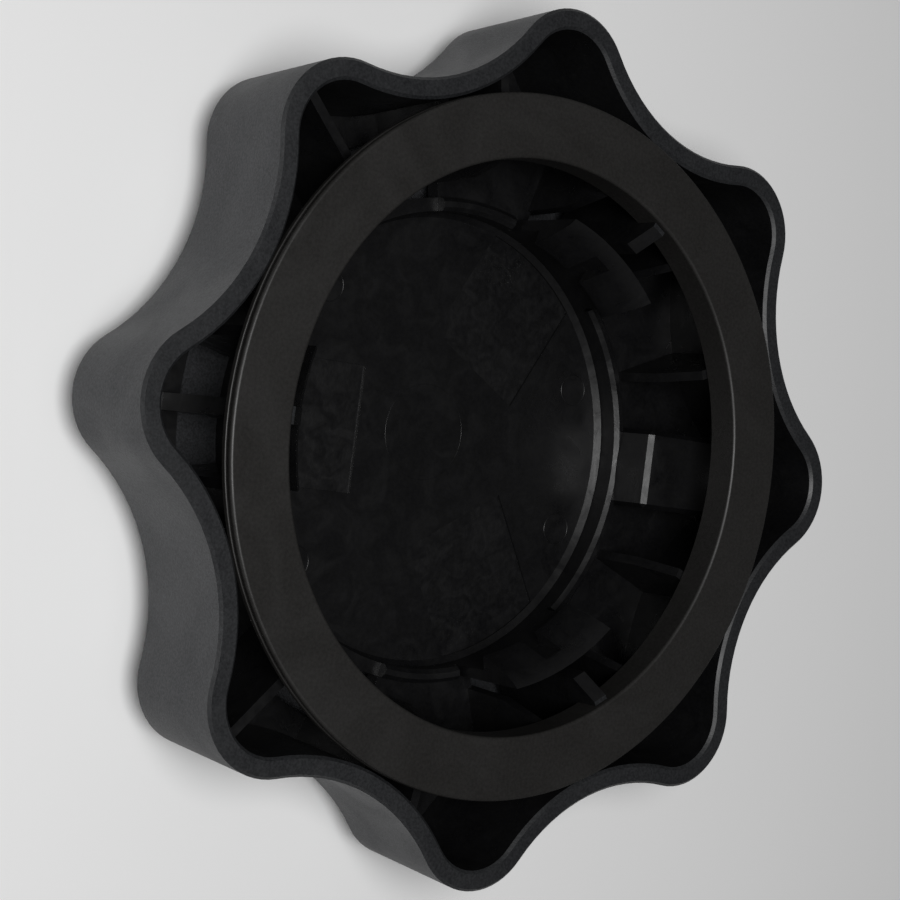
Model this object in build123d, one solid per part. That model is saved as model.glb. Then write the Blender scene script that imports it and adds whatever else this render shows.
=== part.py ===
from build123d import *
import os
from math import atan2, cos, degrees, hypot, radians, sin

os.makedirs("parts", exist_ok=True)

# Star knob lying on its closed face, open underside up.
# Z is the axis of the knob, X points at the key block, Z = 0 is the face it lies on.
# Millimetres and degrees.

# ---- driving dimensions -------------------------------------------------
# Star grip
lobe_count = 8
tip_radius = 53.5        # axis to the outside of a lobe, at the open rim
valley_radius = 45.3     # axis to the outside of a valley, at the open rim
lobe_arc = 9.0           # outside radius of a lobe
skirt_wall = 2.5
skirt_height = 18.8      # closed face to the open rim
draft = 3.5              # lean of the skirt, it narrows towards the closed face
face_chamfer = 1.7       # between the skirt and the closed face
rim_chamfer = 0.35
top_wall = 2.0           # thickness of the wall that carries everything inside

# Boss that steps out of the closed face, and the well inside it
boss_step = 2.5
boss_plate = 2.1
well_radius = 28.9
well_foot_chamfer = 0.7
boss_wall = 1.7          # also the width of the ledge on top of it
ledge_height = 1.4
ledge_chamfer = 0.5

# Snap clips
clip_count = 3
clip_angle = 60.0        # first clip, from the key block
clip_span = 32.0
clip_leg = 1.4
clip_height = 14.5       # well floor to the top of a clip
clip_bevel = 0.9
clip_relief = 1.0        # gap between a clip's side and the ledge, in degrees
nose_reach = 1.9         # how far a nose stands inside the leg
nose_ramp = 4.9
nose_land = 0.6
nose_lead = 0.55
nose_slot = 2.8

# Openings in the closed face
window_span = 24.0       # behind each clip
window_depth = 7.7
window_sill = 0.8        # floor left between a clip and its window
relief_angle = 117.0     # between two clips, on both sides of the key block
relief_span = 34.0
relief_lip = 0.3         # well wall to a relief

# Key block, cored from the closed face
key_width = 10.4
key_depth = 13.0
key_height = 9.8         # well floor to the top of the key block
key_inset = 0.4          # well wall to the key block's inner face
key_chamfer = 0.6
key_wall = 2.0

# Witness patches of the slides that form the noses
patch_inner = 11.35      # axis to a patch
patch_width = 16.0
patch_depth = 0.3

# Ribs
valley_rib = 1.2
valley_rib_gap = 0.8     # ledge to the foot of a valley rib
cell_wall = 1.2
cell_wall_gap = 2.2      # clip's back to the foot of a cell wall
knee_rise = 7.0          # floor to the knee of a rib's inner edge
knee_lean = 0.4          # how far the edge leans outward below its knee
head_lean = 2.1          # and above it
stop_rib = 2.0
stop_gap = 0.9           # clip's back to the stop rib
stop_slope = 3.4         # height of the stop rib's slanted end
stop_lead = 0.2          # ring's face to the top of a stop rib
rib_cover = 1.5          # how far the ring reaches past the ribs that end under it

# Bearing ring
ring_radius = 42.5
ring_bore_radius = 34.7
ring_flange = 1.9
ring_proud = 0.75        # how far the ring's face stands above the rim
collar_wall = 1.6
collar_depth = 2.3       # how far the collar reaches below the flange
ring_groove = 0.5
ring_chamfer = 0.25

# Cover cap
cap_radius = 41.2
cap_plate = 1.6
cap_rim_wall = 1.4
cap_chamfer = 0.8
cap_seat_depth = 0.5     # groove in the closed face that takes the cap's rim
seat_clearance = 0.1

# ---- values worked out from them ----------------------------------------
boss_face_z = cap_plate
well_z = boss_face_z + boss_plate
face_z = boss_face_z + boss_step
floor_z = face_z + top_wall
rim_z = face_z + skirt_height
ring_face_z = rim_z + ring_proud
flange_z = ring_face_z - ring_flange
collar_z = flange_z - collar_depth
ledge_z = floor_z + ledge_height
clip_z = well_z + clip_height
key_z = well_z + key_height
boss_radius = well_radius + boss_wall
clip_back = well_radius + clip_leg
collar_radius = ring_bore_radius + collar_wall
window_radius = clip_back + window_sill
window_outer = window_radius + window_depth
lobe_step = 360 / lobe_count
half_step = lobe_step / 2
clip_step = 360 / clip_count
clip_angles = [clip_angle + i * clip_step for i in range(clip_count)]
relief_angles = [relief_angle, -relief_angle]


def polar(radius, angle):
    """Point at this distance from the axis and this angle from the key block."""
    return (radius * cos(radians(angle)), radius * sin(radians(angle)))


def apart(first, second):
    """Angle between two directions, 0 to 180."""
    return abs((first - second + 180) % 360 - 180)


def star_outline(inset):
    """Face bounded by convex lobe arcs and concave valley arcs that meet tangentially.

    The arcs of every inset share the centres of the outermost outline.
    """
    lobe_centre = tip_radius - lobe_arc
    turn = cos(radians(half_step))
    valley_arc = lobe_arc**2 - lobe_centre**2 - valley_radius**2 + 2 * lobe_centre * valley_radius * turn
    valley_arc /= 2 * (valley_radius - lobe_centre * turn - lobe_arc)
    valley_centre = valley_radius + valley_arc
    along = valley_centre * turn - lobe_centre
    across = valley_centre * sin(radians(half_step))
    share = (lobe_arc - inset) / hypot(along, across)
    touch_radius = hypot(lobe_centre + along * share, across * share)
    touch_angle = degrees(atan2(across * share, lobe_centre + along * share))
    edges = []
    for i in range(lobe_count):
        middle = i * lobe_step
        start = polar(touch_radius, middle - touch_angle)
        end = polar(touch_radius, middle + touch_angle)
        following = polar(touch_radius, middle + lobe_step - touch_angle)
        edges.append(ThreePointArc(start, polar(tip_radius - inset, middle), end))
        edges.append(ThreePointArc(end, polar(valley_radius - inset, middle + half_step), following))
    return make_face(edges)


def drafted_star(inset, low):
    """Star prism from the open rim down to a height, narrowing with the skirt's draft."""
    outline = Pos(0, 0, rim_z) * star_outline(inset)
    return extrude(outline, rim_z - low, dir=(0, 0, -1), taper=draft)


def disc(radius, low, high):
    return Pos(0, 0, low) * extrude(Circle(radius), high - low)


def turned(points, middle=0, span=360):
    """Profile in radius and height, turned about Z through a span centred on an angle."""
    profile = make_face(Plane.XZ * Polyline(*points, close=True))
    return Rot(0, 0, middle - span / 2) * revolve(profile, Axis.Z, span)


def sector(inner, outer, low, high, middle, span):
    """Block between two radii, two heights and two radial planes."""
    return turned([(inner, low), (outer, low), (outer, high), (inner, high)], middle, span)


def plate(points, thickness, angle):
    """Plate standing on a radial plane, from its outline in radius and height."""
    profile = make_face(Plane.XZ * Polyline(*points, close=True))
    return Rot(0, 0, angle) * extrude(profile, thickness / 2, both=True)


def block(x_low, x_high, width, low, high, angle=0):
    """Box along a radius, symmetric about it."""
    middle = ((x_low + x_high) / 2, 0, (low + high) / 2)
    return Rot(0, 0, angle) * (Pos(*middle) * Box(x_high - x_low, width, high - low))


# ---- one-piece star grip ------------------------------------------------
def skirt():
    """Lobed skirt with its closed face, chamfered outside and hollow inside."""
    outer = drafted_star(0, face_z)
    outer = chamfer(outer.edges().group_by(Axis.Z)[0], face_chamfer)
    shell = outer - drafted_star(skirt_wall, floor_z)
    return chamfer(shell.edges().group_by(Axis.Z)[-1], rim_chamfer)


def boss():
    """Cup that steps out of the closed face, with a chamfer at the foot of its well."""
    cup = disc(boss_radius, boss_face_z, floor_z) - disc(well_radius, well_z, floor_z)
    foot = cup.edges().filter_by(GeomType.CIRCLE).filter_by_position(Axis.Z, well_z, well_z)
    return chamfer(foot, well_foot_chamfer)


def ledge():
    """Raised rim of the well, one length for each stretch between clips and reliefs."""
    profile = [
        (well_radius, face_z),
        (well_radius, ledge_z - ledge_chamfer),
        (well_radius + ledge_chamfer, ledge_z),
        (boss_radius - ledge_chamfer, ledge_z),
        (boss_radius, ledge_z - ledge_chamfer),
        (boss_radius, face_z),
    ]
    ring = turned(profile)
    for angle in clip_angles:
        ring -= sector(0, ring_radius, face_z - 1, rim_z, angle, clip_span + 2 * clip_relief)
    for angle in relief_angles:
        ring -= sector(0, ring_radius, floor_z, rim_z, angle, relief_span)
    return ring


def snap_clip(angle):
    """Curved leg with an inward nose: ramp above, flat catch below, slot through its middle."""
    nose_radius = well_radius - nose_reach
    ramp_top = clip_z - clip_bevel
    catch_top = ramp_top - nose_ramp
    catch_z = catch_top - nose_land
    profile = [
        (clip_back, boss_face_z),
        (clip_back, clip_z),
        (well_radius + nose_lead, ramp_top),
        (nose_radius, catch_top),
        (nose_radius, catch_z),
        (well_radius, catch_z),
        (well_radius, boss_face_z),
    ]
    slot_top = ramp_top - nose_ramp * nose_lead / (nose_lead + nose_reach)
    slot = block(nose_radius - 1, well_radius, nose_slot, catch_z, slot_top, angle)
    return turned(profile, angle, clip_span) - slot


def key_block():
    """Block that keys the mating part, chamfered where the part enters."""
    inner = well_radius + key_inset
    body = block(inner, inner + key_depth, key_width, face_z, key_z)
    top = body.edges().group_by(Axis.Z)[-1]
    entry = top.sort_by(Axis.X)[0]
    side = body.edges().filter_by(Axis.Z).group_by(Axis.X)[0]
    ends = top.filter_by(Axis.X)
    return chamfer([entry] + side + ends, key_chamfer)


def key_core():
    """Coring of the key block, open through the closed face."""
    inner = well_radius + key_inset + key_wall
    return block(inner, window_outer, key_width - 2 * key_wall, face_z - 1, key_z - key_wall)


def in_opening(angle):
    """Whether the floor is cut away along this direction."""
    behind_clip = any(apart(angle, a) < window_span / 2 for a in clip_angles)
    return behind_clip or any(apart(angle, a) < relief_span / 2 for a in relief_angles)


def inner_edge(foot):
    """Inner edge of a rib: nearly upright to a knee, then leaning out to the ring's collar."""
    knee = foot + knee_lean
    return [(foot, face_z), (foot, floor_z), (knee, floor_z + knee_rise), (knee + head_lean, collar_z)]


def valley_rib_plate(angle):
    """Rib from the well to a valley, with the stepped seat of the bearing ring.

    Where an opening lies in its way it starts at the far side.
    """
    seat = collar_radius + seat_clearance
    if in_opening(angle):
        points = [(window_outer, face_z), (window_outer, collar_z)]
    else:
        points = inner_edge(boss_radius + valley_rib_gap) + [(seat, collar_z), (seat, flange_z)]
    points += [(valley_radius, points[-1][1]), (valley_radius, face_z)]
    return plate(points, valley_rib, angle)


def cell_wall_plate(angle, outer):
    """Wall beside an opening, from behind the clips outward."""
    points = inner_edge(clip_back + cell_wall_gap) + [(outer, collar_z), (outer, face_z)]
    return plate(points, cell_wall, angle)


def stop_rib_plate(angle):
    """Rib behind a clip that stops its bending and centres the bearing ring's bore."""
    inner = clip_back + stop_gap
    stop = ring_bore_radius - seat_clearance
    outer = ring_radius - rib_cover
    top = ring_face_z - stop_lead
    points = [(inner, face_z), (inner, top - stop_slope), (stop, top), (stop, collar_z)]
    points += [(outer, collar_z), (outer, face_z)]
    return plate(points, stop_rib, angle)


def ribs():
    """All plates inside the skirt, cut to end inside its wall."""
    short = ring_radius - rib_cover
    plates = [stop_rib_plate(a) for a in clip_angles]
    plates += [cell_wall_plate(a + s * window_span / 2, short) for a in clip_angles for s in (-1, 1)]
    plates += [cell_wall_plate(a + s * relief_span / 2, tip_radius) for a in relief_angles for s in (-1, 1)]
    plates += [valley_rib_plate((i + 0.5) * lobe_step) for i in range(lobe_count)]
    inside = drafted_star(skirt_wall / 2, floor_z - top_wall / 2)
    return [p & inside for p in plates]


def openings():
    """Everything cut through the closed face."""
    cuts = []
    for angle in clip_angles:
        window = sector(window_radius, window_outer, face_z - 1, floor_z + 1, angle, window_span)
        cuts.append(window - stop_rib_plate(angle))
    for angle in relief_angles:
        inner = well_radius + relief_lip
        cuts.append(sector(inner, window_outer, boss_face_z - 1, floor_z + 1, angle, relief_span))
    return cuts


def patches():
    """Shallow witness patches on the well floor, one inside each clip."""
    low = well_z - patch_depth
    reach = disc(well_radius - well_foot_chamfer, low, well_z + 1)
    return [block(patch_inner, well_radius, patch_width, low, well_z + 1, a) & reach for a in clip_angles]


def cap_seat():
    """Groove in the closed face for the cover cap's rim."""
    inner = cap_radius - cap_rim_wall - seat_clearance
    outer = cap_radius + seat_clearance
    return sector(inner, outer, face_z - 1, face_z + cap_seat_depth, 0, 360)


def star_grip():
    well = disc(well_radius + boss_wall / 2, boss_face_z, rim_z)
    grip = skirt() - well + boss()
    grip -= openings()
    grip += ribs()
    grip += [ledge(), key_block()] + [snap_clip(a) for a in clip_angles]
    grip -= [key_core(), cap_seat()] + patches()
    return grip


# ---- separate pieces ----------------------------------------------------
def bearing_ring():
    """Flat ring with a collar round its bore and a groove round its edge."""
    middle = (flange_z + ring_face_z) / 2
    low_lip = middle - ring_groove / 2
    high_lip = middle + ring_groove / 2
    profile = [
        (ring_bore_radius, collar_z),
        (ring_bore_radius, ring_face_z - ring_chamfer),
        (ring_bore_radius + ring_chamfer, ring_face_z),
        (ring_radius - ring_chamfer, ring_face_z),
        (ring_radius, ring_face_z - ring_chamfer),
        (ring_radius, high_lip),
        (ring_radius - ring_groove, high_lip),
        (ring_radius - ring_groove, low_lip),
        (ring_radius, low_lip),
        (ring_radius, flange_z),
        (collar_radius, flange_z),
        (collar_radius, collar_z),
    ]
    return turned(profile)


def cover_cap():
    """Shallow dish that closes the openings, its rim seated in the closed face."""
    rim_top = face_z + cap_seat_depth
    dish = disc(cap_radius, 0, rim_top)
    dish = chamfer(dish.edges().group_by(Axis.Z)[0], cap_chamfer)
    return dish - disc(cap_radius - cap_rim_wall, cap_plate, rim_top)


def main():
    nodes = {"star_grip": star_grip(), "bearing_ring": bearing_ring(), "cover_cap": cover_cap()}
    for name, shape in nodes.items():
        export_step(shape, f"parts/{name}.step")


main()
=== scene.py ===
import math
import bmesh
import bpy
import numpy as np
from mathutils import Matrix, Vector


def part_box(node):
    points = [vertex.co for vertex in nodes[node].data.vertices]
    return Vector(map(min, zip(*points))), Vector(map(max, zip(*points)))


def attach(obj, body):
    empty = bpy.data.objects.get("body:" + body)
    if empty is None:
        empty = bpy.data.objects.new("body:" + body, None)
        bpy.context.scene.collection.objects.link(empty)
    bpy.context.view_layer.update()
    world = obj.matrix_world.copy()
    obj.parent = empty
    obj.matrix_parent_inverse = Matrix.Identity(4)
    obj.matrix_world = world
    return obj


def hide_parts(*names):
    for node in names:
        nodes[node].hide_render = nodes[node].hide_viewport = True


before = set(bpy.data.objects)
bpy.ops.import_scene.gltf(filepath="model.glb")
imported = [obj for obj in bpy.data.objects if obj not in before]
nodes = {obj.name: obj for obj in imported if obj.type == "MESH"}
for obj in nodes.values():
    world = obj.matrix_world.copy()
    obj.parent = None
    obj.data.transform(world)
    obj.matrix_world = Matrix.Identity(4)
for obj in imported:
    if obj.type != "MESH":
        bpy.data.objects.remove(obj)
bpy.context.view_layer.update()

# Star knob lying on its closed face: Z is its axis, X points at the key block.
MM = 0.001

# Marks inside the grip, in metres and degrees
WELL_FLOOR = 3.7 * MM       # height of the well's floor
PATCH_FLOOR = 3.4 * MM      # height of the slides' witness patches
PIN_CIRCLE = 25.0 * MM      # axis to an ejector pin's mark
PIN_RADIUS = 2.05 * MM
PIN_ANGLES = (22, -22, 137, -137)
PIN_FLASH = (0.16 * MM, 0.06 * MM)      # width and height of the flash round a pin
GATE_PLACE = (-1.0 * MM, 0.9 * MM)
GATE_RADIUS = 6.1 * MM
GATE_FLASH = (0.10 * MM, 0.02 * MM)     # width and height of the line round the gate
AROUND, SECTION = 72, 8     # points round a mark and round its section

# Where the mould's finishes meet on the grip, in metres
SKIRT_FROM = 43 * MM        # the skirt's outside lies further out than this
BACK_FROM = 41 * MM         # the closed face that shows round the cap lies further out than this
RIM_DEPTH = 0.5 * MM        # the rim's flat lies within this of the grip's top
LEVEL_SLACK = 0.05 * MM     # a face this near to a level lies on it

# Edges of the mouldings
MERGE_DISTANCE = 0.002 * MM
FLAT_ANGLE = math.radians(0.6)      # faces that meet flatter than this become one face
SHARP_ANGLE = math.radians(28)      # edges sharper than this are rounded
EDGE_ROUND = 0.16 * MM      # rounding that polishing leaves on every moulded edge

# Surroundings: strengths, and the heights on a unit sphere where the sides turn into the top
TENT_TOP, TENT_SIDES = 0.85, 1.9
TENT_TURN = (0.35, 0.65)
SOFTBOX_SIZE = 0.22
SOFTBOX_WATTS = 1.6
SOFTBOX_REACH = 1.5         # times as far from the origin as the camera is
SOFTBOX_SHIFT = (0.05, 0.0, 0.08)
FLOOR_SIZE = 1.0

# Camera: how the knob is turned before it, and where the knob lies, in ring radii
KNOB_TURN, KNOB_TILT, KNOB_ROLL = 38.39, -3.63, -6.3
KNOB_PLACE = (0.2285, 0.0006, -6.0430)
LENS, SENSOR = 85.6, 36.0
NEAREST = 0.01


# ---- materials ------------------------------------------------------------
def linear(hex_colour):
    """sRGB hex to linear RGBA."""
    parts = [int(hex_colour[i:i + 2], 16) / 255 for i in (1, 3, 5)]
    return [c / 12.92 if c <= 0.04045 else ((c + 0.055) / 1.055) ** 2.4 for c in parts] + [1.0]


def add_node(tree, kind, inputs=None, **settings):
    """Adds a node; inputs maps a socket to a value or to another node's output."""
    node = tree.nodes.new(kind)
    for name, value in settings.items():
        setattr(node, name, value)
    for name, value in (inputs or {}).items():
        if isinstance(value, bpy.types.NodeSocket):
            tree.links.new(value, node.inputs[name])
        else:
            node.inputs[name].default_value = value
    return node


def moulded_abs(name, colours, roughness, spread, grain_mm, grain_height_mm, flow_mm, flow_height_mm):
    """Black ABS as it comes out of the mould.

    The grain is the steel's eroded or polished surface, which the plastic copies as bump and as a
    fine change of colour. The flow is the slow unevenness that the melt leaves, seen in the gloss.
    """
    material = bpy.data.materials.new(name)
    material.use_nodes = True
    tree = material.node_tree
    shader = tree.nodes["Principled BSDF"]
    place = add_node(tree, "ShaderNodeTexCoord").outputs["Object"]
    grain = add_node(tree, "ShaderNodeTexNoise", {
        "Vector": place, "Scale": 1 / (grain_mm * MM), "Detail": 4.0, "Roughness": 0.6}).outputs["Fac"]
    flow = add_node(tree, "ShaderNodeTexNoise", {
        "Vector": place, "Scale": 1 / (flow_mm * MM), "Detail": 3.0, "Distortion": 1.2}).outputs["Fac"]
    tint = add_node(tree, "ShaderNodeMapRange", {"Value": grain, "From Min": 0.35, "From Max": 0.65})
    colour = add_node(tree, "ShaderNodeMix", {"Factor": tint.outputs["Result"]}, data_type="RGBA")
    colour.inputs["A"].default_value = linear(colours[0])
    colour.inputs["B"].default_value = linear(colours[1])
    gloss = add_node(tree, "ShaderNodeMapRange", {
        "Value": flow, "From Min": 0.35, "From Max": 0.65,
        "To Min": roughness - spread, "To Max": roughness + spread})
    waves = add_node(tree, "ShaderNodeBump", {"Height": flow, "Distance": flow_height_mm * MM})
    bump = add_node(tree, "ShaderNodeBump", {
        "Height": grain, "Distance": grain_height_mm * MM, "Normal": waves.outputs["Normal"]})
    shader.inputs["IOR"].default_value = 1.5
    tree.links.new(colour.outputs["Result"], shader.inputs["Base Color"])
    tree.links.new(gloss.outputs["Result"], shader.inputs["Roughness"])
    tree.links.new(bump.outputs["Normal"], shader.inputs["Normal"])
    return material


# Outside of the grip: coarse spark-eroded steel, so matt and speckled. Its lighter grey is partly the
# eroded grain and partly painted light, standing in for the strong light on the skirt's side
eroded_and_painted_light_abs = moulded_abs("spark_eroded_painted_light_abs", ("#1e1f21", "#3a3b3e"), 0.58, 0.05, 0.28, 0.05, 12, 0.0)
# Open rim: the mould's parting land, finer than the outside
land_abs = moulded_abs("parting_land_abs", ("#161719", "#27282a"), 0.48, 0.05, 0.3, 0.025, 6, 0.01)
# Inside: stoned steel, so glossier, with the melt's flow showing. Its blacker tone is partly the polished
# finish and partly painted shade, darkening the pockets under the ring
core_and_painted_shade_abs = moulded_abs("stoned_core_painted_shade_abs", ("#0b0b0c", "#101011"), 0.34, 0.07, 0.5, 0.008, 4, 0.03)
# Slides' witness patches: milled steel left rough
slide_abs = moulded_abs("milled_slide_abs", ("#0b0b0c", "#121213"), 0.38, 0.08, 0.7, 0.04, 2.5, 0.05)
# Bearing ring: satin, slightly brown beside the grip
ring_abs = moulded_abs("satin_ring_abs", ("#1b1a19", "#232221"), 0.46, 0.05, 0.4, 0.012, 10, 0.01)


# ---- moulded pieces -------------------------------------------------------
def softened(node_name, piece_name):
    """The node's own solid, merged into whole faces, with every sharp edge slightly rounded."""
    mesh = nodes[node_name].data.copy()
    mesh.name = piece_name
    work = bmesh.new()
    work.from_mesh(mesh)
    bmesh.ops.remove_doubles(work, verts=work.verts, dist=MERGE_DISTANCE)
    bmesh.ops.dissolve_limit(work, angle_limit=FLAT_ANGLE, verts=work.verts, edges=work.edges)
    for face in work.faces:
        face.smooth = True
    for edge in work.edges:
        edge.smooth = edge.calc_face_angle(0.0) < SHARP_ANGLE
    work.to_mesh(mesh)
    work.free()
    piece = bpy.data.objects.new(piece_name, mesh)
    bpy.context.scene.collection.objects.link(piece)
    bevel = piece.modifiers.new("edge_round", "BEVEL")
    bevel.width = EDGE_ROUND
    bevel.segments = 2
    bevel.limit_method = "ANGLE"
    bevel.angle_limit = SHARP_ANGLE
    bevel.use_clamp_overlap = True
    bevel.harden_normals = True
    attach(piece, "root")
    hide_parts(node_name)
    return piece


def face_arrays(mesh):
    """Centre and normal of every face as arrays."""
    centre = np.zeros(len(mesh.polygons) * 3)
    normal = np.zeros(len(mesh.polygons) * 3)
    mesh.polygons.foreach_get("center", centre)
    mesh.polygons.foreach_get("normal", normal)
    return centre.reshape(-1, 3), normal.reshape(-1, 3)


def finish_grip(piece):
    """Gives each part of the moulding the steel surface that formed it, with painted light in the lighter
    grey of the outside and painted shade in the blacker tone of the core.

    The skirt's outside looks away from the axis, and the closed face looks down. The rim is the
    highest flat. The patches lie on their own level. The core formed everything else.
    """
    mesh = piece.data
    mesh.materials.clear()
    for material in (core_and_painted_shade_abs, eroded_and_painted_light_abs, land_abs, slide_abs):
        mesh.materials.append(material)
    centre, normal = face_arrays(mesh)
    radius = np.hypot(centre[:, 0], centre[:, 1])
    outward = (centre[:, :2] * normal[:, :2]).sum(1) / np.maximum(radius, MM)
    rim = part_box("star_grip")[1].z - RIM_DEPTH
    outside, land, patch = 1, 2, 3
    index = np.zeros(len(mesh.polygons), int)
    index[(radius > SKIRT_FROM) & (outward > 0.1)] = outside
    index[(normal[:, 2] < -0.5) & (radius > BACK_FROM)] = outside
    index[(centre[:, 2] > rim) & (normal[:, 2] > 0.5)] = land
    index[(abs(centre[:, 2] - PATCH_FLOOR) < LEVEL_SLACK) & (normal[:, 2] > 0.9)] = patch
    mesh.polygons.foreach_set("material_index", index.tolist())


finish_grip(softened("star_grip", "grip_moulding"))
for node_name, piece_name, slot, material in (
        ("bearing_ring", "ring_moulding", "ring_plastic", ring_abs),
        ("cover_cap", "cap_moulding", "cap_plastic", eroded_and_painted_light_abs)):
    moulding = softened(node_name, piece_name)
    moulding.data.materials.clear()
    moulding.data.materials.append(material)


def grid_mesh(name, points, material):
    """Closed surface from a grid of points that runs round in both directions."""
    rows, columns = points.shape[:2]
    index = np.arange(rows * columns).reshape(rows, columns)
    right = np.roll(index, -1, 1)
    faces = np.stack([index, right, np.roll(right, -1, 0), np.roll(index, -1, 0)], -1).reshape(-1, 4)
    mesh = bpy.data.meshes.new(name)
    mesh.from_pydata(points.reshape(-1, 3).tolist(), [], faces.tolist())
    mesh.materials.append(material)
    mesh.polygons.foreach_set("use_smooth", [True] * len(mesh.polygons))
    piece = bpy.data.objects.new(name, mesh)
    bpy.context.scene.collection.objects.link(piece)
    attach(piece, "root")


def witness_ring(name, place, radius, flash):
    """Low flash line on the well's floor: a ring of elliptic section.

    With u round the ring and v round the section, the distance from the ring's centre is
    radius + width / 2 cos v and the height above the floor is height sin v.
    """
    width, height = flash
    u = np.linspace(0, 2 * np.pi, AROUND, endpoint=False)[:, None]
    v = np.linspace(0, 2 * np.pi, SECTION, endpoint=False)[None, :]
    reach = radius + width / 2 * np.cos(v)
    points = np.stack([
        place[0] + reach * np.cos(u), place[1] + reach * np.sin(u),
        WELL_FLOOR + height * np.sin(v) + 0 * u], -1)
    grid_mesh(name, points, core_and_painted_shade_abs)


for number, angle in enumerate(PIN_ANGLES, 1):
    turn = math.radians(angle)
    spot = (PIN_CIRCLE * math.cos(turn), PIN_CIRCLE * math.sin(turn))
    witness_ring(f"pin_mark_{number}", spot, PIN_RADIUS, PIN_FLASH)
witness_ring("gate_mark", GATE_PLACE, GATE_RADIUS, GATE_FLASH)


# ---- floor, light and camera ----------------------------------------------
def white_paper():
    """Matt white paper under the knob; it keeps the knob's shadow."""
    material = bpy.data.materials.new("white_paper")
    material.use_nodes = True
    shader = material.node_tree.nodes["Principled BSDF"]
    shader.inputs["Base Color"].default_value = linear("#f6f6f6")
    shader.inputs["Roughness"].default_value = 0.9
    return material


def make_floor(size):
    """Square of paper at the knob's foot."""
    corners = [(-size, -size, 0), (size, -size, 0), (size, size, 0), (-size, size, 0)]
    mesh = bpy.data.meshes.new("floor")
    mesh.from_pydata(corners, [], [(0, 1, 2, 3)])
    mesh.materials.append(white_paper())
    floor = bpy.data.objects.new("floor", mesh)
    bpy.context.scene.collection.objects.link(floor)


def make_world(top, sides):
    """Surroundings in the background node's default dark grey.

    They are stronger at the sides than overhead, and of strength 1 to the camera.
    """
    world = bpy.data.worlds.new("light_tent")
    world.use_nodes = True
    tree = world.node_tree
    background = tree.nodes["Background"]
    direction = add_node(tree, "ShaderNodeTexCoord").outputs["Generated"]
    height = add_node(tree, "ShaderNodeSeparateXYZ", {"Vector": direction}).outputs["Z"]
    tent = add_node(tree, "ShaderNodeMapRange", {
        "Value": height, "From Min": TENT_TURN[0], "From Max": TENT_TURN[1],
        "To Min": sides, "To Max": top})
    to_camera = add_node(tree, "ShaderNodeLightPath").outputs["Is Camera Ray"]
    strength = add_node(tree, "ShaderNodeMix", {"Factor": to_camera}, data_type="FLOAT")
    strength.inputs["B"].default_value = 1.0
    tree.links.new(tent.outputs["Result"], strength.inputs["A"])
    tree.links.new(strength.outputs["Result"], background.inputs["Strength"])
    bpy.context.scene.world = world


def make_softbox(name, place, target, size, power):
    """Round soft light at a place, turned towards a target."""
    light = bpy.data.lights.new(name, "AREA")
    light.shape = "DISK"
    light.size = size
    light.energy = power
    lamp = bpy.data.objects.new(name, light)
    bpy.context.scene.collection.objects.link(lamp)
    lamp.location = place
    lamp.rotation_euler = (Vector(target) - Vector(place)).to_track_quat("-Z", "Y").to_euler()


def knob_axes(turn, tilt, roll):
    """The knob's own axes as rows, each in the camera's right, up and back.

    The knob's axis is turned sideways and tilted, and the knob is then rolled about it.
    """
    turn, tilt, roll = (math.radians(a) for a in (turn, tilt, roll))
    axis = np.array([math.sin(turn) * math.cos(tilt), math.sin(tilt), math.cos(turn) * math.cos(tilt)])
    across = np.cross([0, 1, 0], axis)
    across /= np.linalg.norm(across)
    upward = np.cross(axis, across)
    key = math.cos(roll) * across + math.sin(roll) * upward
    side = np.cross(axis, key)
    return np.array([key, side, axis])


def make_camera():
    """Camera on the knob's open side. Returns its place, worked out from the ring's face."""
    ring_low, ring_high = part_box("bearing_ring")
    radius = (ring_high.x - ring_low.x) / 2
    axes = knob_axes(KNOB_TURN, KNOB_TILT, KNOB_ROLL)
    centre = np.array(KNOB_PLACE) * radius
    place = Vector(axes @ -centre) + Vector((0, 0, ring_high.z))
    data = bpy.data.cameras.new("camera")
    data.sensor_width = SENSOR
    data.lens = LENS
    data.clip_start = NEAREST
    camera = bpy.data.objects.new("camera", data)
    bpy.context.scene.collection.objects.link(camera)
    camera.matrix_world = Matrix.Translation(place) @ Matrix(axes.tolist()).to_4x4()
    bpy.context.scene.camera = camera
    return place


make_floor(FLOOR_SIZE)
make_world(TENT_TOP, TENT_SIDES)
eye = make_camera()
knob_middle = (0, 0, 0.01)
make_softbox(
    "front_softbox", eye * SOFTBOX_REACH + Vector(SOFTBOX_SHIFT), knob_middle, SOFTBOX_SIZE, SOFTBOX_WATTS)

bpy.context.scene.view_settings.view_transform = "Standard"
